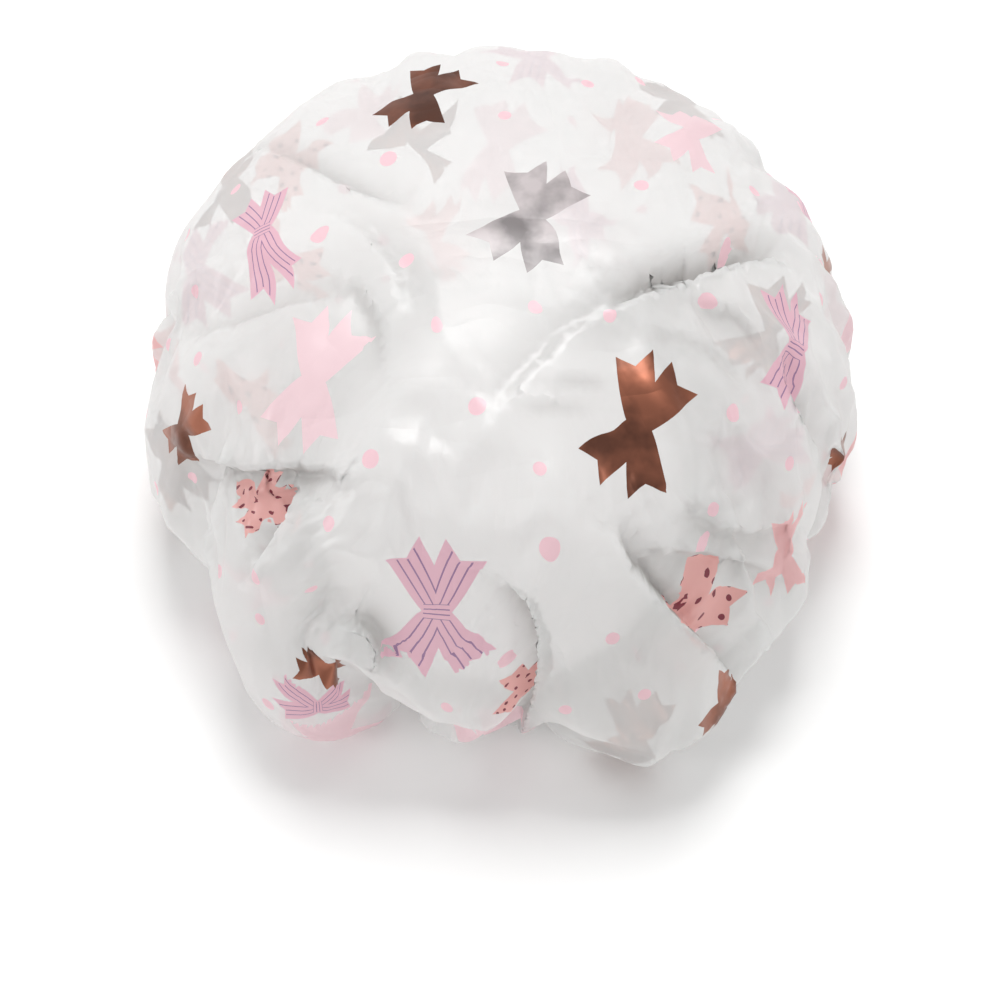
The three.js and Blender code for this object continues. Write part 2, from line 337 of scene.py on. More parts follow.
def spaced_evenly(line):
    step = np.linalg.norm(np.diff(line, axis=1), axis=-1)
    so_far = np.concatenate([np.zeros((len(line), 1)), np.cumsum(step, 1)], 1)
    length = so_far[:, -1]
    share = np.linspace(0, 1, points_down)
    even = np.empty((len(line), points_down, 3))
    for row in range(len(line)):
        for axis in range(3):
            even[row, :, axis] = np.interp(share * length[row], so_far[row], line[row, :, axis])
    return even, length


worn, line_length = worn_lines()
film_radius = line_length.mean()
print("crown to hem, mm:", round(line_length.min() / mm), "to", round(line_length.max() / mm))

# %% [markdown]
# The real sheet is a flat disc, and gathering a flat disc into a bonnet takes up much more film
# than a simulation of this size can fold. So the loose sheet is a deep bowl instead: each of its
# rings is a little longer than the worn ring that it becomes, by more and more towards the hem,
# and each of its lines is a little longer than the worn line. The film keeps these lengths, so
# the spare length has to fold, as it does on the real cap.

# %% Loose sheet
spare_share = 0.07
spare_start = 120 * mm
crown_spare_share = 0.01
line_spare_share = 1.01
wall_growth_share = 0.03
steepest_share = 0.998


def loose_lines():
    """Radius and height of the bowl along each line."""
    ring = np.linalg.norm(np.diff(worn, axis=0), axis=-1).sum(0)
    down = np.linspace(0, film_radius, points_down)
    spare = spare_share * np.clip((down - spare_start) / (film_radius - spare_start), 0, 1)
    radius = ring / (2 * math.pi) * (1 + crown_spare_share + spare)
    fullest = int(np.argmax(ring))
    wall = radius[fullest] * (1 + wall_growth_share * np.linspace(0, 1, points_down - fullest))
    radius[fullest:] = np.maximum(radius[fullest:], wall)
    radius = np.maximum.accumulate(radius)
    step = (line_length * line_spare_share / (points_down - 1))[:, None]
    out = np.minimum(np.diff(radius)[None], steepest_share * step)
    drop = np.sqrt(step ** 2 - out ** 2)
    zero = np.zeros((len(line_length), 1))
    height = np.concatenate([zero, -np.cumsum(drop, 1)], 1)
    height -= height[:, -1].mean() - hem_top
    return np.concatenate([zero, np.cumsum(out, 1)], 1), height


loose_radius, loose_height = loose_lines()
print("bowl, mm:", round(loose_radius.max() / mm), "radius,", round(loose_height.max() / mm), "high")

# %% [markdown]
# The sheet's mesh is rings of triangles, six more in each ring, so that all triangles are about
# alike. A grid would leave a ragged edge, and a fan of long slices would fold only along them.

# %% Mesh of the sheet
triangle_size = 4.6 * mm
ring_count = round(film_radius / triangle_size)


def sheet_mesh():
    """Place of each point, as its share of the way to the hem and its azimuth, and the triangles."""
    share, azimuth, first = [0.0], [0.0], [0]
    for ring in range(1, ring_count + 1):
        first.append(len(share))
        around = np.arange(6 * ring)
        share.extend([ring / ring_count] * (6 * ring))
        azimuth.extend(2 * math.pi * around / (6 * ring))
    faces = []
    for ring in range(1, ring_count + 1):
        inner, outer = first[ring - 1], first[ring]
        inner_count, outer_count = max(6 * (ring - 1), 1), 6 * ring
        for side in range(6):
            for step in range(ring):
                here = outer + (side * ring + step) % outer_count
                after = outer + (side * ring + step + 1) % outer_count
                above = inner + (side * (ring - 1) + step) % inner_count
                faces.append((above, here, after))
                if step < ring - 1:
                    beside = inner + (side * (ring - 1) + step + 1) % inner_count
                    faces.append((above, after, beside))
    return np.array(share), np.array(azimuth), faces, first[ring_count]


sheet_share, sheet_azimuth, sheet_faces, hem_first = sheet_mesh()
print("sheet:", len(sheet_share), "points,", len(sheet_faces), "triangles")


def read_lines(table):
    """Values of a table of lines at each point of the sheet."""
    row = sheet_azimuth / (2 * math.pi) * lines_around
    column = sheet_share * (points_down - 1)
    row_low = np.clip(row.astype(int), 0, lines_around - 1)
    column_low = np.clip(column.astype(int), 0, points_down - 2)
    row_part = row - row_low
    column_part = column - column_low
    if table.ndim == 3:
        row_part = row_part[:, None]
        column_part = column_part[:, None]

    def between_columns(line):
        return table[line, column_low] * (1 - column_part) + table[line, column_low + 1] * column_part

    return between_columns(row_low) * (1 - row_part) + between_columns(row_low + 1) * row_part


loose_points = np.stack([
    read_lines(loose_radius) * np.cos(sheet_azimuth),
    read_lines(loose_radius) * np.sin(sheet_azimuth),
    read_lines(loose_height),
], -1)
worn_points = read_lines(worn)

# %% [markdown]
# The cloth settings decide what the film looks like. It hardly stretches, it bends stiffly for
# its weight, and each point is drawn softly towards its place in the worn shape, so the broad
# billows stay where the photograph has them and the film finds the small folds itself. The edge
# is held fast. A shape key carries the goal from the loose bowl to the worn shape.

# %% Cloth simulation
gathering_frames = 35
settling_frames = 5
goal_pull = 0.3
goal_pull_near_hem_share = 0.6
near_hem_start_share = 0.72
near_hem_span_share = 0.23
fold_pull = 0.8
fold_hold_width = 10 * mm
film_clearance = 0.8 * mm
unevenness = 0.1 * mm
unevenness_seed = 3
broad_rounds = 60


def near_crown_fold(points):
    """1 on the shelf's own line, falling to 0 beside it: there the film is held in its place."""
    along, across = along_and_across_fold(points)
    held_share = np.exp(-((along / fold_reach) ** 4) - (across / fold_hold_width) ** 2)
    return held_share * (points[..., 2] > bulge_height)


def simulated(points, goal, faces):
    """The film's points after the cloth simulation has gathered it."""
    bumps = np.random.default_rng(unevenness_seed).normal(0, unevenness, points.shape)
    bumps[hem_first:] = 0
    mesh = bpy.data.meshes.new("loose film")
    mesh.from_pydata((points + bumps).tolist(), [], faces)
    sheet = bpy.data.objects.new("loose film", mesh)
    bpy.context.collection.objects.link(sheet)
    sheet.shape_key_add(name="loose")
    key = sheet.shape_key_add(name="worn")
    key.data.foreach_set("co", goal.ravel())
    key.value = 0
    key.keyframe_insert("value", frame=1)
    key.value = 1
    key.keyframe_insert("value", frame=gathering_frames)

    held = sheet.vertex_groups.new(name="held")
    near_hem = np.clip((sheet_share - near_hem_start_share) / near_hem_span_share, 0, 1)
    pull = goal_pull * (1 - (1 - goal_pull_near_hem_share) * near_hem)
    pull += (fold_pull - pull) * near_crown_fold(goal)
    for index, weight in enumerate(pull):
        held.add([index], 1.0 if index >= hem_first else float(weight), "REPLACE")

    cloth = sheet.modifiers.new("film", "CLOTH")
    settings = cloth.settings
    settings.quality = 6
    settings.mass = 0.02
    settings.tension_stiffness = 40
    settings.compression_stiffness = 40
    settings.shear_stiffness = 20
    settings.bending_stiffness = 10
    settings.bending_damping = 0.1
    settings.air_damping = 1
    settings.vertex_group_mass = "held"
    settings.pin_stiffness = 1
    settings.effector_weights.gravity = 0.1
    cloth.collision_settings.use_self_collision = True
    cloth.collision_settings.self_distance_min = film_clearance
    cloth.collision_settings.collision_quality = 2
    last_frame = gathering_frames + settling_frames
    cloth.point_cache.frame_start = 1
    cloth.point_cache.frame_end = last_frame
    for number in range(1, last_frame + 1):
        bpy.context.scene.frame_set(number)
    evaluated = sheet.evaluated_get(bpy.context.evaluated_depsgraph_get())
    result = np.empty(len(points) * 3)
    evaluated.data.vertices.foreach_get("co", result)
    bpy.data.objects.remove(sheet)
    bpy.context.scene.frame_set(1)
    return result.reshape(-1, 3)


def neighbour_mean(values):
    """Each point's value averaged over the triangles round it."""
    of_face = values[sheet_corners].mean(1)
    total = np.zeros_like(values)
    for corner in range(3):
        np.add.at(total, sheet_corners[:, corner], of_face)
    return total / faces_at_point


def broad_shape_kept(points, goal):
    """The points moved by the broad part of their way to the goal, so that only small folds differ."""
    way = goal - points
    for _ in range(broad_rounds):
        way = neighbour_mean(way)
    return points + way


sheet_corners = np.array(sheet_faces)
faces_at_point = np.bincount(sheet_corners.ravel())[:, None]


film_points = simulated(loose_points, worn_points, sheet_faces)
film_points = broad_shape_kept(film_points, worn_points)
film_points[hem_first:] = worn_points[hem_first:]
print("film box, mm:", (film_points.min(0) / mm).round(1), (film_points.max(0) / mm).round(1))

# %% [markdown]
# Some of the film is drawn taut, and there the photograph shows it smooth. Those places are given
# by a pixel and a radius. Each point in them moves towards the mean of its neighbours, again and
# again, which is what a smoothing brush does.

# %% Taut places
taut_places = [((605, 645), 95), ((455, 620), 75), ((455, 160), 170), ((560, 400), 60), ((250, 640), 40)]
taut_rounds = 24
taut_share = 0.8


def pixels_of(points):
    """Pixels at which the camera sees the points."""
    turn = np.array(camera.rotation_euler.to_matrix())
    seen = (points - np.array(camera_place)) @ turn
    half = picture_width / 2
    across = half - focal_pixels * seen[:, 0] / seen[:, 2]
    down = half + focal_pixels * seen[:, 1] / seen[:, 2]
    return np.stack([across, down], -1)


def taut_film(points):
    pixels = pixels_of(points)
    near_side = (points - np.array(middle_of_cap)) @ np.array(towards_camera) > 0
    share = np.zeros(len(points))
    for middle, radius in taut_places:
        away = np.linalg.norm(pixels - middle, axis=1) / radius
        share = np.maximum(share, taut_share * np.exp(-away ** 4))
    share *= near_side
    share[hem_first:] = 0
    for _ in range(taut_rounds):
        points = points + share[:, None] * (neighbour_mean(points) - points)
    return points


film_points = taut_film(film_points)
print(len(taut_places), "taut places")

# %% [markdown]
# A Subdivision Surface modifier rounds the simulated facets. The loose sheet is refined in the
# same way, so that every new point also knows its place on the unfolded film. The prints are laid
# out there later, and bend with the film as real prints do.

# %% Refine the sheet
def refined(points, faces):
    """Points and faces after one level of Subdivision Surface."""
    mesh = bpy.data.meshes.new("refining")
    mesh.from_pydata(points.tolist(), [], faces)
    piece = bpy.data.objects.new("refining", mesh)
    bpy.context.collection.objects.link(piece)
    bpy.context.view_layer.objects.active = piece
    finer = piece.modifiers.new("finer", "SUBSURF")
    finer.levels = 1
    finer.render_levels = 1
    bpy.ops.object.modifier_apply(modifier="finer")
    place = np.empty(len(piece.data.vertices) * 3)
    piece.data.vertices.foreach_get("co", place)
    corner = np.empty(len(piece.data.loops), dtype=int)
    piece.data.loops.foreach_get("vertex_index", corner)
    bpy.data.objects.remove(piece)
    return place.reshape(-1, 3), corner.reshape(-1, 4)


film_points, film_faces = refined(film_points, sheet_faces)
flat_points, _ = refined(loose_points, sheet_faces)
print("refined film:", len(film_points), "points,", len(film_faces), "faces")

# %% [markdown]
# The main folds are what the eye knows the cap by: the film laps over itself at the edge of each
# billow. A simulation puts its folds where chance does, so these are pressed in where the
# photograph has them, as a sculptor would with a crease brush. Each is a line of pixels, and rays
# from the camera find it on the film. The points nearest to the line slide onto it, which keeps
# its edge crisp. The film on its left rises into a lip and laps over the film on its right, and
# some of the sheet beside it counts as hidden in the fold, so that prints vanish into it.

# %% Main folds
# Pixels along the fold, then in mm: rise of the lip, fall of the film behind it, how far the lip
# laps over, and the width of both
seen_folds = {
    "front billow, right edge": (
        [(732, 684), (712, 662), (690, 641), (665, 616), (640, 590), (622, 562), (612, 535)],
        4.5, 11.0, 3.0, 14),
    "front billow, left edge": (
        [(505, 578), (528, 594), (542, 622), (548, 655), (544, 690), (530, 722), (514, 744)],
        4.0, 11.0, 2.5, 14),
    "shelf": ([(792, 272), (775, 262), (740, 270), (700, 284), (650, 299), (610, 312)], 2.5, 9.0, 2.5, 9),
    "below shelf": ([(604, 315), (568, 340), (530, 376), (498, 414)], 0.6, 2.4, 0, 10),
    "right billow, lower edge": (
        [(640, 542), (670, 543), (712, 550), (760, 561), (796, 576)], 2.0, 4.0, 0.8, 11),
    "right hollow": ([(690, 498), (722, 524), (752, 530), (800, 516)], 1.5, 3.5, 0, 8),
    "right ridge": ([(822, 490), (815, 452), (792, 405), (772, 352)], 2.0, 3.0, 0, 9),
    "left cone": ([(292, 470), (301, 496), (295, 525), (274, 556), (252, 578)], 4.0, 8.0, 2.5, 11),
    "left overhang": ([(190, 452), (250, 463), (292, 460), (335, 464), (352, 478)], 3.0, 6.0, 2.0, 10),
    "left spur": ([(352, 462), (338, 488), (315, 503)], 2.0, -1.5, 0, 7),
    "left lobe": ([(372, 672), (374, 650), (362, 634), (340, 626)], 2.5, 5.0, 1.0, 9),
    "upper left": ([(405, 212), (350, 192), (300, 168), (252, 147)], 1.5, 3.0, 0, 8),
    "left arc": ([(398, 312), (394, 275), (370, 240), (325, 213)], 0.9, 1.5, 0, 6),
    "hook": ([(325, 272), (365, 285), (385, 320), (390, 375)], 1.2, 2.2, 0, 8),
    "left band": ([(345, 298), (285, 310), (230, 330), (180, 345)], 1.2, 2.0, 0, 8),
    "crown wrinkle 1": ([(648, 122), (656, 158), (651, 196)], 1.3, -0.6, 0, 5),
    "crown wrinkle 2": ([(680, 122), (691, 150), (681, 186)], 1.3, -0.6, 0, 5),
    "right wrinkle 1": ([(690, 298), (735, 306), (760, 335), (768, 368)], 1.3, 2.2, 0, 7),
    "right wrinkle 2": ([(640, 322), (690, 332), (728, 355), (748, 388)], 0.8, 1.4, 0, 6),
    "middle wrinkle 1": ([(548, 376), (575, 372), (606, 376)], 1.0, 1.4, 0, 5),
    "middle wrinkle 2": ([(520, 398), (555, 396), (590, 402)], 0.9, 1.3, 0, 5),
    "middle wrinkle 3": ([(455, 448), (478, 428), (512, 412)], 0.9, -0.5, 0, 5),
}
wall_width = 4 * mm
narrow_walls = {"shelf": 2.5 * mm}
snap_width = 1.2 * mm
fold_samples = 48
fold_search = 120 * mm
fold_taper_power = 0.6
# Shade is painted on the film beside each fold, this far from the lip, darkest beside folds this deep
painted_shade_width = 8.5 * mm
deepest_fold = 10 * mm


def crossed_diagonals(points, faces):
    """For each face, a vector along its normal whose length is twice the face's area."""
    one = points[faces[..., 2]] - points[faces[..., 0]]
    other = points[faces[..., 3]] - points[faces[..., 1]]
    return np.cross(one, other)


def film_reader(points, flat, faces):
    """A function from a pixel to the film there: its place, its normal, and both on the loose sheet."""
    tree = BVHTree.FromPolygons(points.tolist(), faces.tolist())

    def read(pixel):
        place, normal, face, _ = tree.ray_cast(camera_place, ray_through(pixel))
        if face is None:
            beyond = camera_place + ray_through(pixel) * camera_distance
            place, normal, face, _ = tree.find_nearest(beyond)
        corners = faces[face]
        weight = 1 / (np.linalg.norm(points[corners] - np.array(place), axis=1) + 1e-6)
        flat_here = (flat[corners] * weight[:, None]).sum(0) / weight.sum()
        flat_normal = crossed_diagonals(flat, corners)
        return np.array(place), np.array(normal), flat_here, flat_normal / np.linalg.norm(flat_normal)

    return read


def along_path(pixels):
    """Evenly spaced pixels on a path."""
    pixels = np.array(pixels, dtype=float)
    so_far = np.append(0, np.cumsum(np.linalg.norm(np.diff(pixels, axis=0), axis=1)))
    at = np.linspace(0, so_far[-1], fold_samples)
    return np.stack([np.interp(at, so_far, pixels[:, 0]), np.interp(at, so_far, pixels[:, 1])], -1)


def side_ways(places, normals):
    """At each sample of a path, the way to its left, across the film."""
    ahead = np.gradient(places, axis=0)
    left = np.cross(normals, ahead)
    return left / (np.linalg.norm(left, axis=1, keepdims=True) + 1e-12)


def pressed_fold(points, flat, faces, path, lip, fall, lap, width, wall):
    """The film's points and loose places with one fold pressed in, and the shade painted beside it."""
    read = film_reader(points, flat, faces)
    samples = [read(pixel) for pixel in along_path(path)]
    place, normal, flat_place_there, flat_normal = (np.array(values) for values in zip(*samples))
    normal *= np.sign((normal * (np.array(camera_place) - place)).sum(1))[:, None]
    left = side_ways(place, normal)
    flat_left = side_ways(flat_place_there, flat_normal)
    near = np.nonzero(np.linalg.norm(flat - flat_place_there.mean(0), axis=1) < fold_search)[0]
    offset = flat[near][:, None] - flat_place_there[None]
    distance = np.linalg.norm(offset, axis=2)
    nearest = distance.argmin(1)
    distance = distance.min(1)
    from_line = (offset[np.arange(len(near)), nearest] * flat_left[nearest]).sum(1)
    taper = np.sin(np.pi * (nearest + 0.5) / fold_samples) ** fold_taper_power

    snapped = (np.abs(from_line) < snap_width) & (distance < 2 * snap_width)
    slide = np.where(snapped, -from_line, 0)[:, None]
    on_lip = (from_line > 0) | snapped
    down_wall = np.where(on_lip, 0, np.clip(distance / wall, 0, 1))
    down_wall = down_wall ** 2 * (3 - 2 * down_wall)
    fade = taper * np.exp(-np.where(on_lip, distance, np.maximum(distance - wall, 0)) / width)
    rise = (lip - (lip + fall) * down_wall) * fade
    over = lap * (1 - down_wall) * fade
    hidden = max(lip + fall, 0) * down_wall * fade
    points, flat = points.copy(), flat.copy()
    points[near] += rise[:, None] * normal[nearest] + slide * left[nearest] - over[:, None] * left[nearest]
    flat[near] += slide * flat_left[nearest] - hidden[:, None] * flat_left[nearest]
    # Painted shade: the film beside the fold, away from its lip, is darkened, most beside deep folds
    painted_shade = np.zeros(len(points))
    beside = taper * np.exp(-((distance / painted_shade_width) ** 2)) * ~on_lip
    painted_shade[near] = beside * np.clip((lip + fall) / deepest_fold, 0, 1)
    return points, flat, painted_shade


# Shade painted beside the main folds, the darkest of any fold at each point
film_painted_shade = np.zeros(len(film_points))
for name, (path, *sizes) in seen_folds.items():
    sizes = [size * mm for size in sizes] + [narrow_walls.get(name, wall_width)]
    film_points, flat_points, painted_shade = pressed_fold(film_points, flat_points, film_faces, path, *sizes)
    film_painted_shade = np.maximum(film_painted_shade, painted_shade)
print(len(seen_folds), "main folds")

# %% [markdown]
# Thin film that has been packed flat keeps sharp creases. The simulation is too coarse for them,
# so short straight creases are pressed into the refined sheet, each a ridge or a groove that
# comes to an edge. They lie anywhere on the film, and most of them run down it, because the
# elastic pulls it that way. Finer ones are left to the material's bump.

# %% Pressed creases
crease_count = 170
crease_length = (20 * mm, 60 * mm)
crease_width = (2.5 * mm, 6 * mm)
crease_height = (0.2 * mm, 0.8 * mm)
crease_turn = math.radians(90)
crease_turn_spread = math.radians(35)
crease_spans = (crease_length, crease_width, crease_height)
crease_hem_gap = 20 * mm
crease_reach_share = 1.5
crease_seed = 11
# Up, but tilted a little, so that no normal of the loose sheet lies along it
almost_up = (0.03, 0.02, 1)
pleat_count = 100
pleat_height = 2.8 * mm
pleat_length = 42 * mm
pleat_fade_power = 1.5


def point_normals(points, faces):
    """Outward normals of the points, each the mean of those of its faces."""
    face_normal = crossed_diagonals(points, faces)
    normal = np.zeros_like(points)
    for corner in range(4):
        np.add.at(normal, faces[:, corner], face_normal)
    return normal / (np.linalg.norm(normal, axis=1, keepdims=True) + 1e-12)


def fine_pleats(places):
    """Height of the pleats at each point, which fade away from the hem."""
    azimuth = np.arctan2(places[:, 1], places[:, 0])
    from_hem = np.clip(places[:, 2] - hem_top, 0, None)
    fade = np.clip(1 - from_hem / pleat_length, 0, 1) ** pleat_fade_power
    return pleat_height * fade * pleat_wave(azimuth, pleat_count)


def pressed_creases(places, normals):
    """Height of the creases at each point, laid out on the loose sheet."""
    chance = np.random.default_rng(crease_seed)
    from_hem = places[:, 2] - hem_top
    fade = np.clip(from_hem / crease_hem_gap, 0, 1)
    height = np.zeros(len(places))
    for _ in range(crease_count):
        centre = chance.integers(len(places))
        turn = chance.normal(crease_turn, crease_turn_spread)
        length, width, rise = (chance.uniform(*span) for span in crease_spans)
        side = np.cross(normals[centre], almost_up)
        side /= np.linalg.norm(side)
        other = np.cross(normals[centre], side)
        along_way = math.cos(turn) * side + math.sin(turn) * other
        across_way = -math.sin(turn) * side + math.cos(turn) * other
        offset = places - places[centre]
        near = np.abs(offset).max(1) < length * crease_reach_share
        along = offset[near] @ along_way
        across = offset[near] @ across_way
        ridge = np.exp(-np.abs(across) / width) * np.exp(-((along / length) ** 4))
        height[near] += chance.choice((-1, 1)) * rise * ridge
    return height * fade


flat_normals = point_normals(flat_points, film_faces)
creases = pressed_creases(flat_points, flat_normals)
relief = creases + fine_pleats(flat_points)
film_points = film_points + relief[:, None] * point_normals(film_points, film_faces)
print("creases, mm:", (creases.min() / mm).round(2), "to", (creases.max() / mm).round(2))

# %% [markdown]
# The hem is the film's own edge, turned in round the elastic and sewn shut above it. Folding it
# in a simulation would need a far finer sheet. So the sheet goes on from its simulated edge in
# rows that are worked out: down the outside of the elastic, round under it and up on the head's
# side, past the seam to the cut edge. The pleats run on over all of them, and stand out most
# where the elastic fills the hem.

# %% Hem round the elastic
thread_low, thread_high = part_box("hem_needle_thread")
seam_height = (thread_low.z + thread_high.z) / 2
hem_pleat_height = 3.8 * mm
hem_ripple = 0.5 * mm
ripple_shift = 0.02
# Each row: how far it stands off the opening's oval, its height, and its share of the pleats
hem_rows = [
    (0.3 * mm, hem_top - 0.3 * mm, 0.3),
    (0.8 * mm, 7.2 * mm, 0.15),
    (1.35 * mm, seam_height + 0.3 * mm, 0.08),
    (1.35 * mm, seam_height - 0.3 * mm, 0.08),
    (1.7 * mm, 4.9 * mm, 0.4),
    (2.1 * mm, 4.0 * mm, 0.8),
    (2.3 * mm, 2.8 * mm, 1),
    (2.4 * mm, 1.4 * mm, 1),
    (2.4 * mm, 0, 1),
    (2.3 * mm, -1.4 * mm, 0.9),
    (1.9 * mm, -2.7 * mm, 0.7),
    (0.9 * mm, -3.4 * mm, 0.4),
    (-0.2 * mm, -3.3 * mm, -0.4),
    (-0.8 * mm, -2.5 * mm, -0.8),
    (-1.0 * mm, -1.2 * mm, -1),
    (-1.0 * mm, 0.4 * mm, -1),
    (-1.0 * mm, 2.0 * mm, -1),
    (-0.9 * mm, 3.6 * mm, -0.8),
    (-0.8 * mm, 4.8 * mm, -0.4),
    (-0.75 * mm, seam_height - 0.4 * mm, -0.1),
    (-0.75 * mm, seam_height + 0.2 * mm, -0.1),
    (-0.9 * mm, 7.2 * mm, -0.6),
    (-1.1 * mm, 9.0 * mm, -1.1),
]


def edge_ring(points, faces):
    """The sheet's edge points in order of azimuth."""
    pairs = np.concatenate([np.stack([faces[:, k], faces[:, (k + 1) % 4]], 1) for k in range(4)])
    pairs = np.sort(pairs, 1)
    edges, count = np.unique(pairs, axis=0, return_counts=True)
    ring = np.unique(edges[count == 1])
    azimuth = np.arctan2(points[ring, 1], points[ring, 0]) % (2 * math.pi)
    order = np.argsort(azimuth)
    return ring[order], azimuth[order]


def with_hem(points, flat, faces):
    """The film with its hem: its points, their places on the loose sheet, and its faces."""
    ring, azimuth = edge_ring(flat, faces)
    count = len(ring)
    wave = pleat_wave(azimuth, pleat_count)
    ripple = pleat_wave(azimuth + ripple_shift, pleat_count)
    last_flat = flat[ring]
    all_points, all_flat, all_faces = [points], [flat], [faces]
    before = ring
    last = points[ring]
    for row, (stand_off, height, pleat_share) in enumerate(hem_rows):
        pleat = hem_pleat_height * pleat_share * (0.5 + 0.5 * wave * np.sign(pleat_share))
        place = beside_opening(azimuth, stand_off + pleat, height + hem_ripple * ripple * abs(pleat_share))
        step = np.linalg.norm(place - last, axis=1).mean()
        last_flat = last_flat - np.array([0, 0, step])
        last = place
        here = len(points) + row * count + np.arange(count)
        all_points.append(place)
        all_flat.append(last_flat)
        all_faces.append(np.stack([before, here, np.roll(here, -1), np.roll(before, -1)], 1))
        before = here
    edge = np.linalg.norm(place - np.roll(place, 1, 0), axis=1).sum()
    print("cut edge, mm:", round(edge / mm), "along its pleats")
    return np.concatenate(all_points), np.concatenate(all_flat), np.concatenate(all_faces)


hem_way = np.array([(0, hem_top), *((row[0], row[1]) for row in hem_rows)])
hem_turn = np.linalg.norm(np.diff(hem_way, axis=0), axis=1).sum()
print("film turned in, mm:", round(hem_turn / mm, 1))
film_points, flat_points, film_faces = with_hem(film_points, flat_points, film_faces)
film_mesh = bpy.data.meshes.new("film_sheet")
film_mesh.from_pydata(film_points.tolist(), [], film_faces.tolist())
film_mesh.update()
film = bpy.data.objects.new("film_sheet", film_mesh)
bpy.context.collection.objects.link(film)
film_mesh.polygons.foreach_set("use_smooth", [True] * len(film_mesh.polygons))
face_area = 0.5 * np.linalg.norm(crossed_diagonals(film_points, film_faces), axis=1)
print("film:", len(film_faces), "faces,", round(face_area.sum() * 1e4), "cm2")

# %% [markdown]
# The prints are ribbon bows and dots. A bow that the photograph shows is placed by two pixels: the
# knot, and a point towards the middle of its upper pair of tails. Rays from the camera find both
# on the film, and from there on the print belongs to the flat sheet, so it bends and hides in
# folds as the real ones do. Elsewhere bows are placed by their azimuth and distance from the crown.

# %% Where the bows are
# The centre bow's pale grey ink is a painted highlight: copper foil that mirrors the light
COPPER, COPPER_PAINTED_HIGHLIGHT, STRIPED, PINK, SPOTTED, CORAL = range(6)
bow_length = 49 * mm
# Kind, pixel of the knot, pixel towards the head, its length as a share of a whole bow's, and the
# share of its width that the small gathers leave in sight
seen_bows = [
    (COPPER, (424, 95), (441, 73), 0.84, 0.92),
    (COPPER_PAINTED_HIGHLIGHT, (533, 215), (545, 188), 0.92, 1),
    (COPPER, (638, 424), (652, 387), 0.98, 0.9),
    (COPPER, (180, 430), (192, 412), 0.7, 0.8),
    (COPPER, (322, 668), (300, 655), 0.5, 1),
    (COPPER, (826, 268), (822, 258), 0.4, 1),
    (COPPER, (848, 474), (842, 458), 0.45, 0.8),
    (COPPER, (721, 705), (727, 690), 0.55, 1),
    (STRIPED, (262, 230), (259, 197), 1.0, 0.62),
    (STRIPED, (796, 348), (790, 312), 1, 0.8),
    (STRIPED, (437, 612), (435, 569), 1.22, 0.88),
    (STRIPED, (318, 708), (340, 697), 0.6, 1),
    (PINK, (313, 378), (330, 335), 0.97, 0.78),
    (PINK, (692, 132), (686, 106), 0.8, 0.8),
    (SPOTTED, (266, 508), (284, 490), 0.46, 0.85),
    (SPOTTED, (684, 616), (672, 590), 0.8, 0.8),
    (SPOTTED, (524, 686), (532, 662), 0.42, 1),
    (CORAL, (786, 552), (795, 520), 0.8, 0.75),
]
# Kind, azimuth in degrees, distance from the crown, and how far the bow is turned in degrees
unseen_bows = [
    (STRIPED, 84, 152 * mm, 20),
    (PINK, 114, 170 * mm, -35),
    (COPPER, 58, 152 * mm, 15),
    (COPPER, 142, 164 * mm, -20),
    (STRIPED, 32, 160 * mm, -30),
    (CORAL, 66, 196 * mm, 10),
    (PINK, 90, 210 * mm, -15),
    (SPOTTED, 128, 184 * mm, 35),
    (COPPER, 106, 206 * mm, 60),
    (PINK, 16, 172 * mm, 25),
    (SPOTTED, 48, 205 * mm, -40),
    (COPPER, 28, 222 * mm, 20),
    (STRIPED, 150, 196 * mm, -10),
    (CORAL, 172, 190 * mm, 45),
    (COPPER, -176, 206 * mm, -30),
    (PINK, -152, 236 * mm, 15),
    (SPOTTED, 134, 232 * mm, 30),
    (CORAL, -6, 216 * mm, -25),
    (STRIPED, 74, 240 * mm, 50),
    (COPPER, -64, 238 * mm, -50),
    (PINK, -122, 226 * mm, 20),
    (PINK, -92, 226 * mm, -35),
    (STRIPED, 6, 252 * mm, 15),
    (SPOTTED, 162, 250 * mm, -45),
    (CORAL, 102, 256 * mm, 5),
]

read_film = film_reader(film_points, flat_points, film_faces)
flat_face_normals = crossed_diagonals(flat_points, film_faces)
flat_face_normals /= np.linalg.norm(flat_face_normals, axis=1, keepdims=True) + 1e-12


def flat_place(pixel):
    """Place on the loose sheet, and its normal there, of what a pixel shows of the film."""
    return read_film(pixel)[2:]


def bow_frame(centre, normal, heading, width_share=1):
    """A bow's centre on the loose sheet, its way across, squeezed by its width share, and its heading."""
    heading = heading - normal * (heading @ normal)
    heading = heading / np.linalg.norm(heading)
    return centre, np.cross(heading, normal) / width_share, heading


bows = []
for kind, knot_pixel, head_pixel, length_share, width_share in seen_bows:
    centre, normal = flat_place(knot_pixel)
    head, _ = flat_place(head_pixel)
    bows.append((kind, *bow_frame(centre, normal, head - centre, width_share), length_share * bow_length))
for kind, azimuth, down, turn in unseen_bows:
    angle = math.radians(azimuth)
    column = down / film_radius * (points_down - 1)
    row = int(round(azimuth % 360 / 360 * lines_around))
    radius = np.interp(column, np.arange(points_down), loose_radius[row])
    height = np.interp(column, np.arange(points_down), loose_height[row])
    centre = np.array([radius * math.cos(angle), radius * math.sin(angle), height])
    nearest = np.argmin(((flat_points[film_faces[:, 0]] - centre) ** 2).sum(1))
    east = np.array([-math.sin(angle), math.cos(angle), 0])
    up = np.cross(flat_face_normals[nearest], east)
    heading = math.cos(math.radians(turn)) * up + math.sin(math.radians(turn)) * east
    bows.append((kind, *bow_frame(centre, flat_face_normals[nearest], heading), bow_length))
print(len(bows), "bows")

# %% [markdown]
# The dots between the bows are placed in the same way where the photograph shows them. The rest
# of the film gets dots at about the same spacing, wherever there is room between the bows.

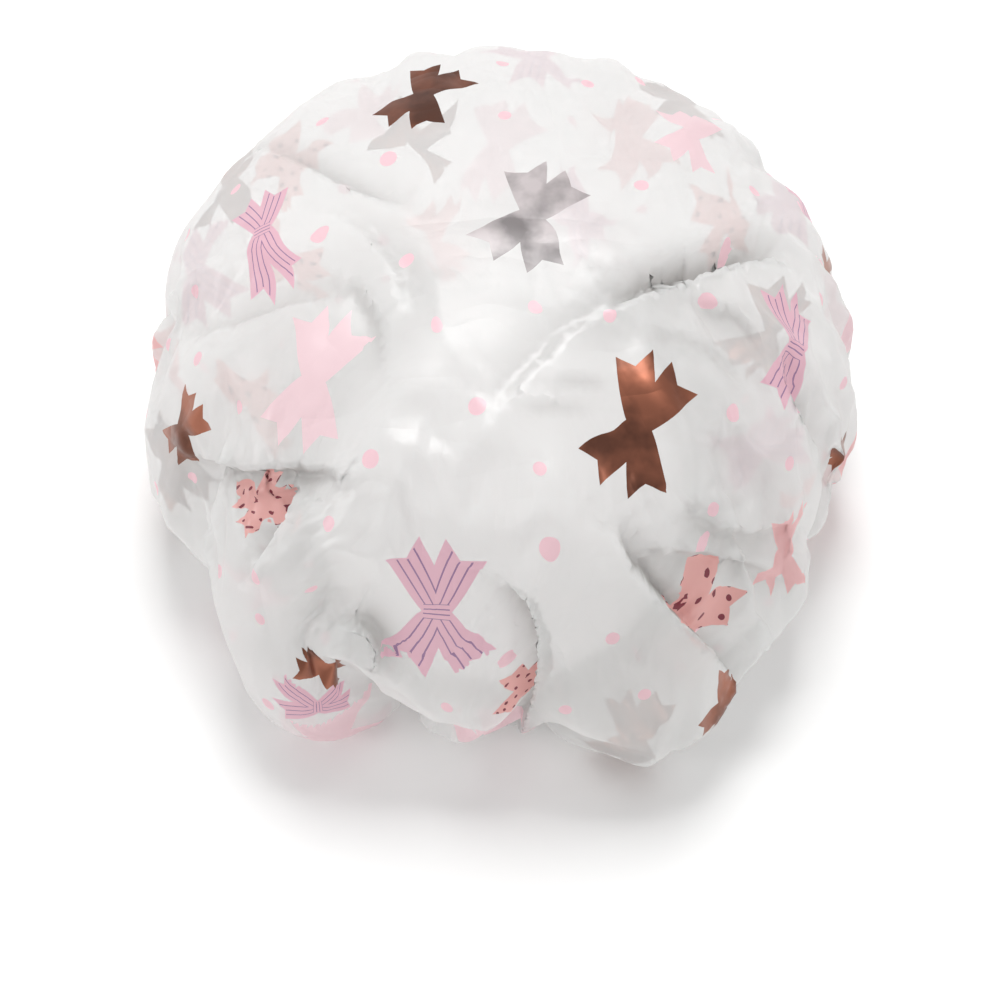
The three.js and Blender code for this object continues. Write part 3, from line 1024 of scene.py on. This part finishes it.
# %% Where the dots are
small_dot = 5 * mm
middle_dot = 6.3 * mm
large_dot = 8 * mm
dot_spacing = 27 * mm
dot_bow_gap = 34 * mm
dot_tries = 900
dot_seed = 5
seen_dots = {
    large_dot: [(550, 548)],
    middle_dot: [(369, 458), (478, 405), (319, 236), (734, 414), (706, 303), (388, 158)],
    small_dot: [
        (322, 121), (406, 261), (504, 64), (504, 115), (587, 84), (641, 82), (642, 185), (754, 191),
        (800, 206), (535, 308), (608, 314), (844, 383), (614, 638), (566, 710), (713, 508), (703, 547),
        (696, 627), (197, 292), (198, 357), (239, 407), (192, 476), (254, 576), (311, 589), (260, 618),
        (268, 704), (506, 659), (446, 707),
    ],
}

dots = [(*flat_place(pixel), size) for size, pixels in seen_dots.items() for pixel in pixels]
dot_chance = np.random.default_rng(dot_seed)
bow_centres = np.array([bow[1] for bow in bows])
body_faces = np.nonzero(flat_points[film_faces[:, 0], 2] > hem_top)[0]
for face in dot_chance.choice(body_faces, dot_tries, replace=False):
    place = flat_points[film_faces[face, 0]]
    from_dots = np.linalg.norm(np.array([dot[0] for dot in dots]) - place, axis=1).min()
    from_bows = np.linalg.norm(bow_centres - place, axis=1).min()
    if from_dots > dot_spacing and from_bows > dot_bow_gap:
        dots.append((place, flat_face_normals[face], small_dot))
print(len(dots), "dots")

# %% [markdown]
# A print needs its own flat coordinates, centred on its knot. One UV map can hold them all if each
# face of the film takes those of the nearest bow: the seams between bows then fall in bare film. A
# second map does the same for the dots, and two colour attributes say which ink each bow has.

# %% Print coordinates and inks
# Ink colour and foil share of each kind, then its shares of lines and of spots
inks = {
    COPPER: ((0.30, 0.105, 0.06, 1.0), (0, 0)),
    # Pale grey ink with little foil: the painted highlight of a copper bow that mirrors the light
    COPPER_PAINTED_HIGHLIGHT: ((0.50, 0.46, 0.465, 0.1), (0, 0)),
    STRIPED: ((0.84, 0.53, 0.62, 0.0), (1, 0)),
    PINK: ((0.93, 0.71, 0.75, 0.0), (0, 0)),
    SPOTTED: ((0.88, 0.47, 0.44, 0.0), (0, 1)),
    CORAL: ((0.90, 0.55, 0.55, 0.0), (0, 0)),
}
corner_flat = flat_points[film_faces]
face_centres = corner_flat.mean(1)
faces_at_a_time = 4000
# A round dot may be turned any way, so its axes are worked out from this one
slant_way = (0.31, 0.17, 0.93)


def nearest_of(centres):
    """Index of the nearest centre to each face, in batches that fit in memory."""
    nearest = np.empty(len(face_centres), dtype=int)
    for first in range(0, len(face_centres), faces_at_a_time):
        batch = slice(first, first + faces_at_a_time)
        nearest[batch] = ((face_centres[batch][:, None] - centres[None]) ** 2).sum(2).argmin(1)
    return nearest


def write_map(name, index, centres, easts, norths, sizes):
    """A UV map with each face's corners measured from its own print's centre."""
    offset = corner_flat - centres[index][:, None]
    across = np.einsum("fck,fk->fc", offset, easts[index]) / sizes[index][:, None]
    along = np.einsum("fck,fk->fc", offset, norths[index]) / sizes[index][:, None]
    layer = film_mesh.uv_layers.new(name=name)
    layer.data.foreach_set("uv", np.stack([across, along], -1).ravel())


def write_colours(name, values):
    layer = film_mesh.color_attributes.new(name=name, type="FLOAT_COLOR", domain="CORNER")
    layer.data.foreach_set("color", np.repeat(values, 4, axis=0).ravel())


nearest_bow = nearest_of(bow_centres)
bow_easts, bow_norths, bow_sizes = (np.array([bow[k] for bow in bows]) for k in (2, 3, 4))
write_map("bows", nearest_bow, bow_centres, bow_easts, bow_norths, bow_sizes)
dot_centres = np.array([dot[0] for dot in dots])
dot_normals = np.array([dot[1] for dot in dots])
dot_easts = np.cross(dot_normals, slant_way)
dot_easts /= np.linalg.norm(dot_easts, axis=1, keepdims=True)
dot_norths = np.cross(dot_normals, dot_easts)
dot_sizes = np.array([dot[2] for dot in dots])
write_map("dots", nearest_of(dot_centres), dot_centres, dot_easts, dot_norths, dot_sizes)
kinds = np.array([bow[0] for bow in bows])[nearest_bow]
write_colours("ink", np.array([inks[k][0] for k in range(len(inks))])[kinds])
write_colours("ink marks", np.array([(*inks[k][1], 0, 1) for k in range(len(inks))])[kinds])


def write_places(name, values):
    layer = film_mesh.attributes.new(name=name, type="FLOAT_VECTOR", domain="POINT")
    layer.data.foreach_set("vector", values.ravel())


flat_round = np.linalg.norm(flat_points[:, :2], axis=1)
round_way = flat_points[:, :2] / (flat_round[:, None] + 1e-9) * film_radius / 2
from_crown = np.hypot(flat_round, flat_points[:, 2].max() - flat_points[:, 2])
write_places("sheet place", flat_points)
write_places("sheet round", np.column_stack([round_way, from_crown]))
# The hem's points come last and lie in no fold, so no shade is painted on them
painted_shade_with_hem = np.pad(film_painted_shade, (0, len(film_points) - len(film_painted_shade)))
painted_shade_attribute = film_mesh.attributes.new(name="film painted shade", type="FLOAT", domain="POINT")
painted_shade_attribute.data.foreach_set("value", painted_shade_with_hem)

# %% [markdown]
# The film is milky plastic about a tenth of a millimetre thick. A thin sheet like it reflects a
# satin gloss, scatters most light back, lets some glow through to the other side and a little
# straight through. A Principled shader gives the gloss and the milkiness, Translucent the glow
# and a small share of Transparent the see-through. Crumples, cloudiness and ink go into their
# sockets. Beside a deep fold, shade is painted into the film's colour and its glow, and less light
# goes straight through there.
#
# A shader this rich has many Math nodes, which are hard to read when each is written out. So a
# small class holds a node's output, and plain arithmetic with it adds the Math nodes.

# %% Node helpers
class Output:
    """An output of a node. Arithmetic with it adds Math nodes to its tree."""

    def __init__(self, tree, socket):
        self.tree = tree
        self.socket = socket

    def maths(self, operation, *others):
        values = dict(enumerate((self, *others)))
        return add_node(self.tree, "ShaderNodeMath", {"operation": operation}, values)

    def __add__(self, other):
        return self.maths("ADD", other)

    def __sub__(self, other):
        return self.maths("SUBTRACT", other)

    def __rsub__(self, other):
        return self.maths("MULTIPLY_ADD", -1, other)

    def __mul__(self, other):
        return self.maths("MULTIPLY", other)

    def __truediv__(self, other):
        return self.maths("DIVIDE", other)

    def __abs__(self):
        return self.maths("ABSOLUTE")

    def __gt__(self, other):
        return self.maths("GREATER_THAN", other)

    def __lt__(self, other):
        return self.maths("LESS_THAN", other)

    def or_less(self, other):
        return self.maths("MINIMUM", other)

    def or_more(self, other):
        return self.maths("MAXIMUM", other)


def plug(tree, value, socket):
    """Link an output to a socket, or set the socket to a plain value."""
    if isinstance(value, Output):
        tree.links.new(value.socket, socket)
    else:
        socket.default_value = value


def add_node(tree, kind, settings=None, inputs=None, output=0):
    """Add a node with its settings and inputs, and give back one of its outputs."""
    node = tree.nodes.new(kind)
    for name, value in (settings or {}).items():
        setattr(node, name, value)
    for name, value in (inputs or {}).items():
        plug(tree, value, node.inputs[name])
    return Output(tree, node.outputs[output])


def attribute(tree, name, output):
    return add_node(tree, "ShaderNodeAttribute", {"attribute_name": name}, output=output)


def print_place(tree, name):
    return add_node(tree, "ShaderNodeUVMap", {"uv_map": name})


def part_of(tree, vector, axis):
    return add_node(tree, "ShaderNodeSeparateXYZ", inputs={0: vector}, output=axis)


def mapped(tree, place, scale, turn=(0, 0, 0)):
    return add_node(tree, "ShaderNodeMapping", inputs={"Vector": place, "Rotation": turn, "Scale": scale})


def noise(tree, place, scale, detail=1.0, output="Fac"):
    return add_node(tree, "ShaderNodeTexNoise", inputs={
        "Vector": place, "Scale": scale, "Detail": detail}, output=output)


def spanned(tree, value, span, new_span, kind="LINEAR"):
    """A value that runs over the new span while the given one runs over its span."""
    return add_node(tree, "ShaderNodeMapRange", {"interpolation_type": kind}, {
        "Value": value, "From Min": span[0], "From Max": span[1],
        "To Min": new_span[0], "To Max": new_span[1]})


def bump(tree, height, depth, strength=1.0):
    return add_node(tree, "ShaderNodeBump", inputs={
        "Strength": strength, "Distance": depth, "Height": height})


def mixed_colour(tree, share, first, second):
    return add_node(tree, "ShaderNodeMix", {"data_type": "RGBA"}, {0: share, 6: first, 7: second}, output=2)


def mixed_shader(tree, share, first, second):
    return add_node(tree, "ShaderNodeMixShader", inputs={0: share, 1: first, 2: second})


def new_material(name):
    """A material, its node tree, and the socket that its shader goes into."""
    material = bpy.data.materials.new(name)
    material.use_nodes = True
    tree = material.node_tree
    tree.nodes.clear()
    return material, tree, tree.nodes.new("ShaderNodeOutputMaterial").inputs["Surface"]


# %% [markdown]
# The bow is drawn by arithmetic on its UV map, in lengths of one bow: each half has two ribbon
# tails that widen from the knot and end in a notch. Along a tail runs one coordinate and across it
# another, and the tail is wherever both are in their range. Folding the drawing about its middle
# with Absolute makes the left tails from the right ones. This stays sharp at any distance, which
# a painted picture would not.

# %% Bow shape
tail_turn_up = math.radians(25)
tail_turn_down = math.radians(29)
tail_bend = 0.10
tail_length = 0.5
tail_notch = 0.085
tail_spread = 0.105
tail_swell = 0.2
tail_start_share = 0.8
knot_half_width = 0.1
knot_half_height = 0.055
line_count = 4
line_width = 0.17
line_edge_gap = 0.012
knot_line_count = 3
knot_line_width = 0.24


def tail(side, up, turn):
    """How far inside one tail a point is, and its place across the tail."""
    cosine, sine = math.cos(turn), math.sin(turn)
    along = side * sine + up * cosine
    across = side * cosine - up * sine - along * along * tail_bend
    ahead = along.or_more(0)
    half = ahead / (ahead + tail_swell) * tail_spread + knot_half_width * tail_start_share
    share = across / half
    end = abs(share) * tail_notch + (tail_length - tail_notch)
    return (half - abs(across)).or_less(end - along).or_less(along), share


def off_lines(place):
    """How far each place is from the nearest of lines that lie at whole numbers and a half."""
    return abs(place.maths("FRACT") - 0.5)


def bow_masks(tree):
    """1 inside the bow, and 1 on the lines that run along its ribbons and over its knot."""
    place = print_place(tree, "bows")
    side = abs(part_of(tree, place, "X"))
    up = part_of(tree, place, "Y")
    upper, upper_share = tail(side, up, tail_turn_up)
    lower, lower_share = tail(side, up * -1, tail_turn_down)
    knot = (knot_half_width - side).or_less(knot_half_height - abs(up))
    inside = upper.or_more(lower).or_more(knot)
    is_upper = up > 0
    in_knot = knot > 0
    share = upper_share * is_upper + lower_share * (1 - is_upper)
    on_line = off_lines(share * (line_count / 2) + 0.5) < line_width / 2
    on_knot_line = off_lines(up * (knot_line_count / 2 / knot_half_height)) < knot_line_width / 2
    tail_lines = on_line * (inside > line_edge_gap) * (1 - in_knot)
    return inside > 0, tail_lines.or_more(on_knot_line * in_knot)


# %% [markdown]
# Spots on the bows come from a Voronoi texture on the same map, cut off at a small radius. The
# dots between the bows are round patches of their own map.

# %% Ink
spot_scale = 8.5
spot_radius = 0.17
spot_length_share = 0.6
spot_disorder_share = 0.55
dot_radius = 0.5
line_ink = (0.36, 0.21, 0.37, 1)
spot_ink = (0.24, 0.04, 0.06, 1)
dot_ink = (0.96, 0.66, 0.72, 1)


def ink_layers(tree):
    """Ink colour, where there is ink, and how much of it is foil."""
    is_bow, on_line = bow_masks(tree)
    marks = attribute(tree, "ink marks", "Color")
    spots = add_node(tree, "ShaderNodeTexVoronoi", {"voronoi_dimensions": "2D"}, {
        "Vector": mapped(tree, print_place(tree, "bows"), (1, spot_length_share, 1)),
        "Scale": spot_scale, "Randomness": spot_disorder_share})
    on_line = on_line * part_of(tree, marks, "X")
    on_spot = (spots < spot_radius) * part_of(tree, marks, "Y")
    lined = mixed_colour(tree, on_line, attribute(tree, "ink", "Color"), line_ink)
    spotted = mixed_colour(tree, on_spot, lined, spot_ink)
    from_dot = add_node(tree, "ShaderNodeVectorMath", {"operation": "LENGTH"}, {
        0: print_place(tree, "dots")}, output="Value")
    has_ink = is_bow.or_more(from_dot < dot_radius)
    return mixed_colour(tree, is_bow, dot_ink, spotted), has_ink, is_bow * attribute(tree, "ink", "Alpha")


# %% [markdown]
# Creases too fine for the mesh are a bump. Film that is drawn in at its edge creases along its
# lines, so most of them run down from the crown. A noise that is stretched along them gives long
# soft swells, and its middle value, made sharp with Absolute, a crease. Some of the film is taut and
# smooth, so a broad noise says how much of the creases each place has.

# %% Crumples
crumple_depth = 1.3 * mm
# Stretch down the film, noise scale and share of each set of creases
down_creases = ((0.22, 42.0, 1.0), (0.3, 95.0, 0.4))
# Way from the crown over which those creases begin
crown_smooth = (50 * mm, 130 * mm)
# Slant and stretch of the creases that cross them, their noise scale and share
cross_creases = ((0.7, 0.3, 36.0, 0.8), (-0.9, 0.35, 60.0, 0.45))
cross_tilt = (0.3, 0.2)
bend_scale = 16.0
bend_size = 0.05
amount_scale = 13.0
amount_span = (0.38, 0.62)
amount_shares = (0.25, 1.0)


def creased(tree, place, scale, share):
    return abs(noise(tree, place, scale) * 2 - 1) * share


def crumple_height(tree):
    place = attribute(tree, "sheet place", "Vector")
    round_place = attribute(tree, "sheet round", "Vector")
    bend = noise(tree, place, bend_scale, output="Color")
    bent = add_node(tree, "ShaderNodeVectorMath", {"operation": "MULTIPLY_ADD"}, {
        0: bend, 1: (bend_size, bend_size, bend_size), 2: round_place})
    height = 0
    for stretch, scale, share in down_creases:
        height = creased(tree, mapped(tree, bent, (1, 1, stretch)), scale, share) + height
    height = height * spanned(tree, part_of(tree, round_place, "Z"), crown_smooth, (0, 1), "SMOOTHSTEP")
    for slant, stretch, scale, share in cross_creases:
        drawn = mapped(tree, place, (stretch, 1, 1), (*cross_tilt, slant))
        height = creased(tree, drawn, scale, share) + height
    broad = noise(tree, place, amount_scale)
    return height * spanned(tree, broad, amount_span, amount_shares, "SMOOTHSTEP")


# %% [markdown]
# Crumpled foil mirrors dark and bright parts of a room, which a plain studio lacks, so the same
# noise that clouds the film makes patches in the foil's colour.

# %% Film material
film_colour = (0.84, 0.85, 0.845, 1)
cloud_colour = (0.77, 0.785, 0.78, 1)
glow_colour = (0.95, 0.96, 0.95, 1)
# Film colour and glow where shade is painted beside deep folds
painted_shade_colour = (0.36, 0.35, 0.335, 1)
painted_shade_glow_colour = (0.38, 0.37, 0.35, 1)
film_roughness = (0.30, 0.46)
foil_roughness = 0.38
foil_shades = (0.45, 1.12)
least_foil = 0.05
cloud_scale = 45.0
cloud_detail = 4.0
cloud_span = (0.4, 0.6)
glow_share = 0.5
clear_share = 0.25
skin_gloss = 0.5
skin_roughness = 0.28


def film_material():
    material, tree, surface_socket = new_material("frosted printed film")
    ink_colour, has_ink, is_foil = ink_layers(tree)
    clouds = noise(tree, attribute(tree, "sheet place", "Vector"), cloud_scale, cloud_detail)
    painted_shade = attribute(tree, "film painted shade", "Fac")
    relief = bump(tree, crumple_height(tree), crumple_depth)
    foil_shade = spanned(tree, clouds, cloud_span, (foil_shades[0] - 1, foil_shades[1] - 1))
    ink_colour = add_node(tree, "ShaderNodeVectorMath", {"operation": "SCALE"}, {
        0: ink_colour, "Scale": (is_foil > least_foil) * foil_shade + 1})
    # Painted shade beside deep folds darkens the film's colour and its glow
    milky = mixed_colour(tree, painted_shade, mixed_colour(tree, clouds, film_colour, cloud_colour), painted_shade_colour)
    glowing = mixed_colour(tree, painted_shade, glow_colour, painted_shade_glow_colour)
    frost = clouds * (film_roughness[1] - film_roughness[0]) + film_roughness[0]
    bare = 1 - is_foil
    surface = add_node(tree, "ShaderNodeBsdfPrincipled", inputs={
        "Base Color": mixed_colour(tree, has_ink, milky, ink_colour),
        "Metallic": is_foil,
        "Roughness": frost * bare + is_foil * foil_roughness,
        "Specular IOR Level": 0.5,
        "Coat Weight": skin_gloss,
        "Coat Roughness": skin_roughness,
        "Coat Normal": relief,
        "Normal": relief})
    glow = add_node(tree, "ShaderNodeBsdfTranslucent", inputs={
        "Color": mixed_colour(tree, has_ink, glowing, ink_colour), "Normal": relief})
    body = mixed_shader(tree, bare * glow_share, surface, glow)
    clear_part = (1 - has_ink.or_more(painted_shade)) * clear_share
    whole = mixed_shader(tree, clear_part, body, add_node(tree, "ShaderNodeBsdfTransparent"))
    plug(tree, whole, surface_socket)
    return material


film_mesh.materials.append(film_material())

# %% [markdown]
# The elastic is knitted over rubber strands: fine ribs run along it, and the knit makes tiny rows
# across them. The threads are spun: a slant wave in the bump twists them. These three are packed
# parts whose shape is right, so they only get a finish.

# %% Elastic and threads
rib_waver = 0.4
rib_detail = 2.0
fuzz_scale = 2200.0
fuzz_detail = 3.0
fuzz_height_share = 0.4
rib_strength = 0.8
fuzz_sheen = 0.3
worn_shade_share = 0.9


def ribbed_material(name, colour, roughness, rib_scale, rib_depth, slant):
    material, tree, surface_socket = new_material(name)
    place = add_node(tree, "ShaderNodeTexCoord", output="Object")
    ribs = add_node(tree, "ShaderNodeTexWave", {"bands_direction": "Z"}, {
        "Vector": mapped(tree, place, (1, 1, 1), (0, slant, 0)),
        "Scale": rib_scale, "Distortion": rib_waver, "Detail": rib_detail}, output="Fac")
    fuzz = noise(tree, place, fuzz_scale, fuzz_detail)
    worn_colour = tuple(channel * worn_shade_share for channel in colour[:3]) + (1,)
    shader = add_node(tree, "ShaderNodeBsdfPrincipled", inputs={
        "Base Color": mixed_colour(tree, fuzz, colour, worn_colour),
        "Roughness": roughness,
        "Sheen Weight": fuzz_sheen,
        "Normal": bump(tree, fuzz * fuzz_height_share + ribs, rib_depth, rib_strength)})
    plug(tree, shader, surface_socket)
    return material


elastic_colour = (0.9, 0.89, 0.86, 1)
thread_colour = (0.93, 0.93, 0.92, 1)
thread_twist = math.radians(50)
elastic_material = ribbed_material("knitted elastic", elastic_colour, 0.8, 330.0, 0.12 * mm, 0)
thread_material = ribbed_material("spun thread", thread_colour, 0.7, 900.0, 0.05 * mm, thread_twist)
for node_name, material in (
    ("elastic_band", elastic_material),
    ("elastic_join_thread", thread_material),
    ("hem_needle_thread", thread_material),
    ("hem_bobbin_thread", thread_material),
):
    node_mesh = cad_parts[node_name].data
    node_mesh.materials.clear()
    node_mesh.materials.append(material)

# %% [markdown]
# The film takes the imported film's place, and everything is one body, because nothing on a cap is
# jointed. The sheet was cut as a disc whose radius is the way from the crown to the hem and the
# turned edge.

# %% Film in the imported film's place
cut_radius = film_radius + hem_turn
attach(film, "root")
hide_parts("cap_film")
2 * cut_radius
2 * cut_radius
math.pi * cut_radius ** 2
print("cut disc, mm:", round(2 * cut_radius / mm), "across")
